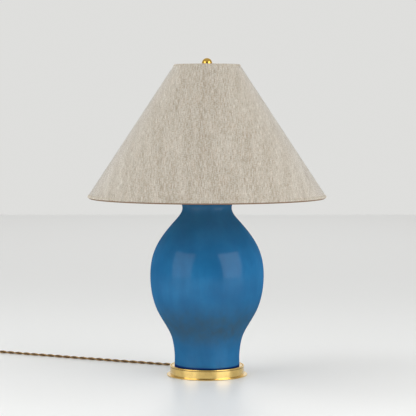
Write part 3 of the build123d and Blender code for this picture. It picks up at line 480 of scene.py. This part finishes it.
# ================================================================ cord: route, coil, strands
# Millimetres, as in part.py, which lays the cord's solids along the same route.
CORD_DIAMETER = 7.0
STRAND_RADIUS = CORD_DIAMETER / 4
CORD_LAY = 47.5              # length of one full twist, from the lobes in the photograph
EXIT_ANGLE = 121.0
EXIT_RADIUS = 106.8
EXIT_HEIGHT = 12.0
FLOOR_Z = CORD_DIAMETER / 2  # centreline of the cord on the floor
COIL_Z = 4.6                 # centreline of the coil's lower layer
LEAD_IN = (-571.0, 366.5)
COIL_START = (-586.0, 374.5)
COIL_HEADING = atan2(COIL_START[1] - LEAD_IN[1], COIL_START[0] - LEAD_IN[0])
COIL_INNER = 24.6            # radius of the innermost half turn
TURN_PITCH = 7.7             # between turns that lie side by side
LAYER_RISE = 7.6             # from the lower layer to the upper one
HALF_TURNS = 5               # of each layer, next to the innermost one
COIL_TAIL = 16.0             # straight end into the plug
POINTS_PER_HALF_TURN = 8
ROUTE_STEPS = 12             # samples of the spline for each control point
STRAND_SIDES = 10
SAMPLE_STEP = 1.6 * MM

# From the exit to where the coil's own points take over.
cord_route = [
    (EXIT_RADIUS * cos(radians(EXIT_ANGLE)), EXIT_RADIUS * sin(radians(EXIT_ANGLE)), EXIT_HEIGHT),
    (-60.8, 101.1, EXIT_HEIGHT),
    (-71.2, 112.8, 8.4),
    (-87.1, 124.4, 4.9),
    (-112.0, 141.6, FLOOR_Z),
    (-158.0, 165.8, FLOOR_Z),
    (-212.8, 190.0, FLOOR_Z),
    (-263.8, 217.0, FLOOR_Z),
    (-331.0, 247.8, FLOOR_Z),
    (-392.0, 280.8, FLOOR_Z),
    (-446.6, 306.6, FLOOR_Z),
    (-514.0, 341.6, FLOOR_Z),
    (-546.0, 355.0, FLOOR_Z + 0.3),
    (LEAD_IN[0], LEAD_IN[1], COIL_Z),
]


def ahead_and_left(heading):
    """Unit vectors along a heading on the floor and square to it, to its left."""
    return Vector((cos(heading), sin(heading), 0)), Vector((-sin(heading), cos(heading), 0))


def coil_points():
    """Control points of the turns: spiral in, climb a layer in one half turn, spiral out, a straight tail."""
    heading = COIL_HEADING
    forward, left = ahead_and_left(heading)
    here = Vector((COIL_START[0], COIL_START[1], COIL_Z)) + forward * CORD_DIAMETER
    half_pitch = TURN_PITCH / 2
    inward = [COIL_INNER + half_pitch * (HALF_TURNS - k) for k in range(HALF_TURNS)]
    turns = [(radius, 0.0) for radius in inward]
    turns += [(COIL_INNER, LAYER_RISE)]
    turns += [(radius, 0.0) for radius in reversed(inward)]
    step = pi / POINTS_PER_HALF_TURN
    outset = 8 / (6 + 2 * cos(step))    # the spline runs inside its points by this much
    points = []
    for radius, rise in turns:
        forward, left = ahead_and_left(heading)
        centre = here + left * radius
        for k in range(POINTS_PER_HALF_TURN):
            angle = step * (k + 0.5)
            share = (k + 0.5) / POINTS_PER_HALF_TURN
            lift = Vector((0, 0, rise * share * share * (3 - 2 * share)))
            points.append(centre + (forward * sin(angle) - left * cos(angle)) * radius * outset + lift)
        here = here + left * 2 * radius + Vector((0, 0, rise))
        heading += pi
    forward, left = ahead_and_left(heading)
    points.append(here + forward * COIL_TAIL * 0.5)
    points.append(here + forward * COIL_TAIL)
    return points


cord_line = [Vector(p) * MM for p in cord_route] + [p * MM for p in coil_points()]


def sampled_route(points, name):
    """Points along the smooth spline through a list of control points."""
    curve = bpy.data.curves.new(name, "CURVE")
    curve.dimensions = "3D"
    spline = curve.splines.new("NURBS")
    spline.points.add(len(points) - 1)
    for target, point in zip(spline.points, points):
        target.co = (*point, 1.0)
    spline.order_u = 3
    spline.use_endpoint_u = True
    spline.resolution_u = ROUTE_STEPS
    holder = bpy.data.objects.new(name, curve)
    bpy.context.scene.collection.objects.link(holder)
    line = bpy.data.meshes.new_from_object(holder)
    samples = [v.co.copy() for v in line.vertices]
    bpy.data.objects.remove(holder)
    bpy.data.curves.remove(curve)
    bpy.data.meshes.remove(line)
    return samples


def evenly(samples, step):
    """The same line with its points a fixed distance apart, and its end kept if it is clear of the last."""
    spaced = [samples[0]]
    left_over = 0.0
    for start, end in zip(samples, samples[1:]):
        length = (end - start).length
        if length == 0:
            continue
        done = step - left_over
        while done <= length:
            spaced.append(start.lerp(end, done / length))
            done += step
        left_over = length - (done - step)
    if (spaced[-1] - samples[-1]).length > step * 0.3:
        spaced.append(samples[-1])
    return spaced


def carried_frames(line):
    """(tangent, side, up) at each point of a line, turning as little as possible from one to the next."""
    tangent = (line[1] - line[0]).normalized()
    side = tangent.cross(Vector((0, 0, 1))).normalized()
    frames = []
    for k in range(len(line)):
        ahead = line[min(k + 1, len(line) - 1)]
        behind = line[max(k - 1, 0)]
        tangent = (ahead - behind).normalized()
        side = (side - tangent * side.dot(tangent)).normalized()
        frames.append((tangent, side, tangent.cross(side)))
    return frames


def make_cord():
    """Two round strands twisted round the cord's line, as one mesh; returns it and the line.

    Each vertex stores its length along the strand, its angle round it, and how far it looks outward.
    """
    line = evenly(sampled_route(cord_line, "cord_route"), SAMPLE_STEP)
    frames = carried_frames(line)
    radius = STRAND_RADIUS * MM
    lean = 2 * pi * radius / (CORD_LAY * MM)
    vertices = []
    faces = []
    strand_data = []
    for strand in range(2):
        first = len(vertices)
        for k, (point, (tangent, side, up)) in enumerate(zip(line, frames)):
            along = k * SAMPLE_STEP
            phase = 2 * pi * along / (CORD_LAY * MM) + pi * strand
            away = side * cos(phase) + up * sin(phase)
            centre = point + away * radius
            turn_direction = up * cos(phase) - side * sin(phase)
            axis = (tangent + turn_direction * lean).normalized()
            across = (away - axis * away.dot(axis)).normalized()
            other = axis.cross(across)
            for s in range(STRAND_SIDES):
                angle = 2 * pi * s / STRAND_SIDES
                vertices.append(centre + (across * cos(angle) + other * sin(angle)) * radius)
                strand_data.append((along, angle, 0.5 + 0.5 * cos(angle)))
        faces += tube_faces(len(line), STRAND_SIDES, first)
        faces.append(tuple(first + s for s in reversed(range(STRAND_SIDES))))
        last = len(vertices) - STRAND_SIDES
        faces.append(tuple(last + s for s in range(STRAND_SIDES)))
    cord = add_mesh("twisted_cord", vertices, faces, smooth_angle=60)
    store_vectors(cord.data, "strand", strand_data)
    place(cord, "root", finishes["gold_cloth"], "gold_cloth", "cord", "cord_coil")
    return cord, line


cord, cord_centreline = make_cord()


# ================================================================ strap round the coil
# Millimetres.
TIE_WIDTH = 9.0
TIE_THICKNESS = 0.8
TIE_GAP = 0.3                # between the turns and the strap, at its sides
TIE_CORNER = 3.0             # inside radius of its corners
CORNER_POINTS = 7


def make_tie():
    """Woven strap closed round one side of the coil, its underside on the floor."""
    forward, left = ahead_and_left(COIL_HEADING)
    half_pitch = TURN_PITCH / 2
    inmost = COIL_INNER + half_pitch
    outmost = COIL_INNER + half_pitch * HALF_TURNS
    start = Vector((COIL_START[0], COIL_START[1], 0))
    middle = start + forward * CORD_DIAMETER + left * (outmost + half_pitch)
    reach = half_pitch + TIE_WIDTH / 2
    inner = sqrt(inmost**2 - reach**2) - CORD_DIAMETER / 2 - TIE_GAP + TIE_CORNER
    outer = outmost + CORD_DIAMETER / 2 + TIE_GAP - TIE_CORNER
    bottom = TIE_THICKNESS + TIE_CORNER
    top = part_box("cord_tie")[1].z / MM - TIE_THICKNESS - TIE_CORNER
    outline = []
    corners = ((outer, top, 0), (inner, top, 90), (inner, bottom, 180), (outer, bottom, 270))
    for cx, cz, start_angle in corners:
        for k in range(CORNER_POINTS):
            angle = radians(start_angle + 90 / (CORNER_POINTS - 1) * k)
            outline.append((cx, cz, cos(angle), sin(angle)))
    vertices = []
    for edge in (-1, 1):
        for cx, cz, nx, nz in outline:
            for size in (TIE_CORNER, TIE_CORNER + TIE_THICKNESS):
                spot = middle + forward * (cx + nx * size) + left * (edge * TIE_WIDTH / 2)
                vertices.append((spot + Vector((0, 0, cz + nz * size))) * MM)
    count = len(outline)
    other = 2 * count        # from a vertex to the same one on the strap's other edge
    faces = []
    for k in range(count):
        n = (k + 1) % count
        a_in, a_out, b_in, b_out = 2 * k, 2 * k + 1, 2 * n, 2 * n + 1
        faces += [
            (a_out, b_out, b_out + other, a_out + other),
            (b_in, a_in, a_in + other, b_in + other),
            (a_in, b_in, b_out, a_out),
            (b_in + other, a_in + other, a_out + other, b_out + other),
        ]
    tie = add_mesh("coil_strap", vertices, faces, smooth_angle=35)
    place(tie, "root", finishes["tie_cloth"], "tie_cloth", "cord_tie")
    return tie


tie = make_tie()


# ================================================================ shade: linen skin, rolled hems, seam
# Millimetres. Along is up the slant from the bottom rim, out is away from the shade's outer face.
SHADE_BOTTOM_RADIUS = 279.4
SHADE_BOTTOM_HEIGHT = 420.4
SHADE_TOP_RADIUS = 76.2
SHADE_HEIGHT = 308.2
TRIM_FOLD = 1.4              # of the bottom hem below the end of the slant
SHADE_RUN = SHADE_TOP_RADIUS - SHADE_BOTTOM_RADIUS
SHADE_SLANT = hypot(SHADE_RUN, SHADE_HEIGHT)
SLANT_RISE = SHADE_HEIGHT / SHADE_SLANT
SLANT_RUN = SHADE_RUN / SHADE_SLANT
SLANT_SINE = -SHADE_RUN / SHADE_SLANT
APEX_SLANT = SHADE_BOTTOM_RADIUS * SHADE_SLANT / -SHADE_RUN   # bottom rim to the cone's tip, along the slant
AROUND = 216                 # steps round the shade
LINEN_ROWS = 26              # steps up the slant
LINEN_FACE = -0.6            # out, of the linen's outer and inner face
LINEN_BACK = -1.3
LINEN_INSET = 0.6            # along, from each rim to the linen's end
SEAM_FACE = -0.22            # the lap of the seam, over the linen
SEAM_BACK = -0.58
SEAM_INSET = 7.0
SEAM_HALF_WIDTH = 5.5
SEAM_RADIUS = SHADE_BOTTOM_RADIUS * 0.64   # about the mean radius of the shade
SEAM_STEPS = 6
HEM_DEPTH = 6.1              # of the hem round the rim, in from the shade's face

# (along, out) of a hem's outer and inner face. The bottom and the top hem turn round the rim in between.
HEM_FACE = [(6.4, -0.56), (5.6, -0.34), (4.6, -0.16), (3.4, -0.06), (2.0, -0.03)]
HEM_BACK = [(0.45, -4.4), (0.4, -3.0), (0.42, -1.7), (0.55, -0.75), (1.4, -0.45), (3.4, -0.42), (5.0, -0.50)]


def on_slant(along, out):
    """(radius, height) of a point given as (along, out)."""
    radius = SHADE_BOTTOM_RADIUS + along * SLANT_RUN + out * SLANT_RISE
    return radius, SHADE_BOTTOM_HEIGHT + along * SLANT_RISE - out * SLANT_RUN


def off_slant(radius, height):
    """(along, out) of a point given as (radius, height)."""
    across = radius - SHADE_BOTTOM_RADIUS
    up = height - SHADE_BOTTOM_HEIGHT
    return across * SLANT_RUN + up * SLANT_RISE, across * SLANT_RISE - up * SLANT_RUN


def flat_place(along, angle):
    """Where a point of the cone lies in the flat cut; angle 0 is the front, the seam is at the back."""
    reach = APEX_SLANT - along
    turn = angle * SLANT_SINE
    return reach * sin(turn) * MM, -reach * cos(turn) * MM


def cone_band(name, section, first_angle, last_angle, steps, edges=None):
    """Closed section of (along, out) points carried round the cone, with the cloth's flat coordinates.

    edges gives each section point's share of the brown edge. A full turn keeps its two ends as
    separate points, so that the cloth's coordinates don't run together at the seam.
    """
    count = len(section)
    edges = edges or [0.0] * count
    vertices = []
    flats = []
    shares = []
    for k in range(steps + 1):
        angle = first_angle + (last_angle - first_angle) * k / steps
        for (along, out), share in zip(section, edges):
            radius, height = on_slant(along, out)
            vertices.append(Vector((radius * sin(angle), -radius * cos(angle), height)) * MM)
            flats.append((*flat_place(along, angle), 0.0))
            shares.append((share, 0.0, 0.0))
    faces = tube_faces(steps + 1, count)
    faces.append(tuple(reversed(range(count))))
    faces.append(tuple(steps * count + s for s in range(count)))
    band = add_mesh(name, vertices, faces, smooth_angle=50)
    store_vectors(band.data, "flat", flats)
    store_vectors(band.data, "edge", shares)
    return band


def bottom_hem_section():
    """(along, out) points of the bottom hem, and the share of the brown edge at each."""
    end_radius, end_height = on_slant(0, -HEM_DEPTH)
    fold = [
        (SHADE_BOTTOM_RADIUS - 0.05, SHADE_BOTTOM_HEIGHT - 0.7),
        (SHADE_BOTTOM_RADIUS - 0.5, SHADE_BOTTOM_HEIGHT - TRIM_FOLD + 0.1),
        (SHADE_BOTTOM_RADIUS - 1.4, SHADE_BOTTOM_HEIGHT - TRIM_FOLD - 0.75),
        (SHADE_BOTTOM_RADIUS - 3.2, SHADE_BOTTOM_HEIGHT - TRIM_FOLD - 2.0),
        (end_radius + 0.5, end_height - TRIM_FOLD + 0.35),
        (end_radius + 0.08, end_height - TRIM_FOLD + 0.6),
        (end_radius + 0.05, end_height - 0.3),
    ]
    section = HEM_FACE + [(0.9, -0.06), (0.2, -0.2)]
    section += [off_slant(radius, height) for radius, height in fold]
    section += [(1.2, -6.05), (3.5, -6.1), (6.0, -6.1), (6.0, -5.7), (3.5, -5.72), (1.4, -5.65), (0.8, -5.2)]
    return section + HEM_BACK, [0.0] * 8 + [0.5] + [1.0] * 15 + [0.5, 0.0, 0.0, 0.0]


def top_hem_section():
    """The same for the top hem, from the top rim down."""
    section = HEM_FACE + [
        (1.0, -0.12), (0.35, -0.45), (0.06, -1.1), (0.0, -2.2), (0.03, -3.6), (0.12, -4.8), (0.35, -5.6),
        (0.95, -6.0), (1.0, -5.72), (0.6, -5.2),
    ]
    section = [(SHADE_SLANT - along, out) for along, out in reversed(section + HEM_BACK)]
    return section, [0.0, 0.0, 0.0, 0.5] + [0.8] * 11 + [0.55, 0.10] + [0.0] * 5


def make_shade():
    """Linen skin, the lap of its seam, and a hem folded round each rim."""
    low = LINEN_INSET
    high = SHADE_SLANT - low
    outside = [(low + (high - low) * k / LINEN_ROWS, LINEN_FACE) for k in range(LINEN_ROWS + 1)]
    inside = [(along, LINEN_BACK) for along, _ in reversed(outside)]
    linen = cone_band("linen_skin", outside + inside, -pi, pi, AROUND)
    place(linen, "shade", finishes["linen"], "linen", "shade_linen")

    seam_half = SEAM_HALF_WIDTH / SEAM_RADIUS
    seam_length = SHADE_SLANT - 2 * SEAM_INSET
    seam_section = [(SEAM_INSET + seam_length * k / LINEN_ROWS, SEAM_FACE) for k in range(LINEN_ROWS + 1)]
    seam_section += [(along, SEAM_BACK) for along, _ in reversed(seam_section)]
    seam = cone_band("linen_seam", seam_section, pi - seam_half, pi + seam_half, SEAM_STEPS)
    place(seam, "shade", finishes["linen"], "linen")

    section, edges = bottom_hem_section()
    bottom_hem = cone_band("bottom_hem", section, -pi, pi, AROUND, edges)
    place(bottom_hem, "shade", finishes["edge_cloth"], "edge_cloth", "shade_bottom_trim")

    section, edges = top_hem_section()
    top_hem = cone_band("top_hem", section, -pi, pi, AROUND, edges)
    place(top_hem, "shade", finishes["edge_cloth"], "edge_cloth", "shade_top_trim")


make_shade()


# ================================================================ felt under the base
# Millimetres.
FELT_RADIUS = 90.0
FELT_THICKNESS = 1.5
FELT_AROUND = 120
FELT_RAGGED = 0.12           # how far its cut edge wanders in and out
FELT_RAGGED_FROM = 89.0      # radius outside which it does
FELT_RAGGED_SCALE = 40.0


def make_felt_disc():
    """Pressed felt disc with a soft, slightly ragged edge."""
    rings = [(30.0, 0.0), (60.0, 0.0), (80.0, 0.0), (89.4, 0.0), (89.9, 0.25), (FELT_RADIUS, 0.75)]
    rings += [(89.9, 1.25), (89.4, FELT_THICKNESS), (60.0, FELT_THICKNESS), (30.0, FELT_THICKNESS)]
    vertices = []
    for radius, z in rings:
        for k in range(FELT_AROUND):
            angle = 2 * pi * k / FELT_AROUND
            ragged = 0.0
            if radius > FELT_RAGGED_FROM:
                spot = Vector((cos(angle) * FELT_RAGGED_SCALE, sin(angle) * FELT_RAGGED_SCALE, z))
                ragged = FELT_RAGGED * noise.noise(spot)
            edge = radius + ragged - FELT_RAGGED
            vertices.append(Vector((edge * cos(angle), edge * sin(angle), z)) * MM)
    faces = tube_faces(len(rings), FELT_AROUND)
    under = len(vertices)
    over = under + 1
    vertices += [Vector((0, 0, 0)), Vector((0, 0, FELT_THICKNESS)) * MM]
    last = under - FELT_AROUND
    for k in range(FELT_AROUND):
        n = (k + 1) % FELT_AROUND
        faces.append((under, n, k))
        faces.append((over, last + k, last + n))
    felt = add_mesh("felt_disc", vertices, faces, smooth_angle=50)
    place(felt, "root", finishes["felt"], "felt", "felt_pad")


make_felt_disc()


# ================================================================ finishes of the CAD nodes
def finish_cad_nodes():
    """Gives every CAD node, hidden or not, the finish of its material slot."""
    slots = {row["node"]: row["material_slot"] for row in frame["record"]["subparts"]}
    for name, piece in frame["nodes"].items():
        piece.data.materials.clear()
        piece.data.materials.append(finishes[slots[name]])


finish_cad_nodes()


# ================================================================ floor, light and room
FLOOR_HALF = 6.0
FLOOR_TONE = (0.76, 0.76, 0.75, 1.0)
FLOOR_ROUGHNESS = 0.36
DAYLIGHT = (0.95, 0.98, 1.0)
SOFTBOX_PLACE = (1.75, -1.35, 1.08)          # of the right one; the left one is opposite
SOFTBOX_AIM = (0, 0, 0.35)
SOFTBOX_SIZE = (1.9, 2.1)
SIDE_LIGHT_PLACE = (1.65, 0.15, 1.95)        # likewise
SIDE_LIGHT_AIM = (0, 0, 0.6)
SIDE_LIGHT_SIZE = (1.2, 1.2)
# (side, name, watts of its softbox, watts of its side light); the photograph is brighter on the right
SIDES = ((-1, "left", 22.5, 21.0), (1, "right", 32.5, 13.0))
# (name, x, y) of the lights that only fill the floor round the lamp
FLOOR_LIGHTS = (("far", 0, 4.6), ("near", 0, -5.2), ("left", -5.2, 0), ("right", 5.2, 0))
FLOOR_LIGHT_HEIGHT = 2.4
FLOOR_LIGHT_SIZE = (6.0, 5.0)
FLOOR_LIGHT_POWER = 42.0
FLOOR_LIGHT_SPREAD = 120                     # degrees
# The room's tones by direction, and the spans of Y and of Z over which one gives way to the next
ROOM_BEHIND_CAMERA = (0.15, 0.15, 0.155)
ROOM_SIDES = (0.33, 0.33, 0.325)
ROOM_BEHIND_LAMP = (0.85, 0.85, 0.84)
ROOM_CEILING = (0.52, 0.52, 0.51)
CAMERA_TO_SIDES = (-0.75, 0.20)
SIDES_TO_LAMP = (0.45, 0.95)
LEVEL_TO_CEILING = (0.35, 0.80)
ROOM_SEEN = (0.735, 0.735, 0.720, 1)         # the even wall tone that the camera sees


def make_floor():
    corners = [(x * FLOOR_HALF, y * FLOOR_HALF, 0) for x, y in ((-1, -1), (1, -1), (1, 1), (-1, 1))]
    floor = add_mesh("floor", corners, [(0, 1, 2, 3)])
    finish = Finish("pale_floor").set(Base_Color=FLOOR_TONE, Roughness=FLOOR_ROUGHNESS)
    floor.data.materials.append(finish.material)


def add_softbox(name, place_at, aim, size, power, mirrored=True, colour=(1.0, 1.0, 1.0), spread=180):
    """Rectangular light, which shiny pieces mirror or not; spread is the full angle of its beam."""
    data = bpy.data.lights.new(name, "AREA")
    data.shape = "RECTANGLE"
    data.size, data.size_y = size
    data.energy = power
    data.color = colour
    data.spread = radians(spread)
    lamp = bpy.data.objects.new(name, data)
    lamp.location = place_at
    lamp.rotation_euler = (Vector(aim) - Vector(place_at)).to_track_quat("-Z", "Y").to_euler()
    lamp.visible_glossy = mirrored
    lamp.visible_camera = False
    bpy.context.scene.collection.objects.link(lamp)


def make_lights():
    for side, name, power, side_power in SIDES:
        x, y, z = SOFTBOX_PLACE
        add_softbox("softbox_" + name, (side * x, y, z), SOFTBOX_AIM, SOFTBOX_SIZE, power)
        x, y, z = SIDE_LIGHT_PLACE
        add_softbox(
            "side_light_" + name, (side * x, y, z), SIDE_LIGHT_AIM, SIDE_LIGHT_SIZE, side_power,
            mirrored=False, colour=DAYLIGHT,
        )
    for name, x, y in FLOOR_LIGHTS:
        add_softbox(
            "floor_light_" + name, (x, y, FLOOR_LIGHT_HEIGHT), (x, y, 0), FLOOR_LIGHT_SIZE,
            FLOOR_LIGHT_POWER, mirrored=False, spread=FLOOR_LIGHT_SPREAD,
        )


def make_world():
    """Pale room, dark at eye level behind the camera; the camera itself sees one even pale tone."""
    world = bpy.data.worlds.new("studio")
    world.use_nodes = True
    tree = world.node_tree
    nodes = tree.nodes
    links = tree.links

    def ramp_over(value, span, low_colour, high_colour):
        share = nodes.new("ShaderNodeMapRange")
        share.inputs["From Min"].default_value, share.inputs["From Max"].default_value = span
        links.new(value, share.inputs["Value"])
        blend = nodes.new("ShaderNodeMix")
        blend.data_type = "RGBA"
        links.new(share.outputs["Result"], blend.inputs["Factor"])
        for key, colour in (("A", low_colour), ("B", high_colour)):
            if isinstance(colour, bpy.types.NodeSocket):
                links.new(colour, blend.inputs[key])
            else:
                blend.inputs[key].default_value = (*colour, 1.0)
        return blend.outputs["Result"]

    parts = nodes.new("ShaderNodeSeparateXYZ")
    links.new(nodes.new("ShaderNodeTexCoord").outputs["Generated"], parts.inputs[0])
    level = ramp_over(parts.outputs["Y"], CAMERA_TO_SIDES, ROOM_BEHIND_CAMERA, ROOM_SIDES)
    level = ramp_over(parts.outputs["Y"], SIDES_TO_LAMP, level, ROOM_BEHIND_LAMP)
    room = ramp_over(parts.outputs["Z"], LEVEL_TO_CEILING, level, ROOM_CEILING)
    links.new(room, nodes["Background"].inputs["Color"])
    seen = nodes.new("ShaderNodeBackground")
    seen.inputs["Color"].default_value = ROOM_SEEN
    choose = nodes.new("ShaderNodeMixShader")
    links.new(nodes.new("ShaderNodeLightPath").outputs["Is Camera Ray"], choose.inputs["Fac"])
    links.new(nodes["Background"].outputs[0], choose.inputs[1])
    links.new(seen.outputs[0], choose.inputs[2])
    links.new(choose.outputs[0], nodes["World Output"].inputs["Surface"])
    bpy.context.scene.world = world


make_floor()
make_world()
make_lights()
bpy.context.scene.view_settings.view_transform = "Standard"
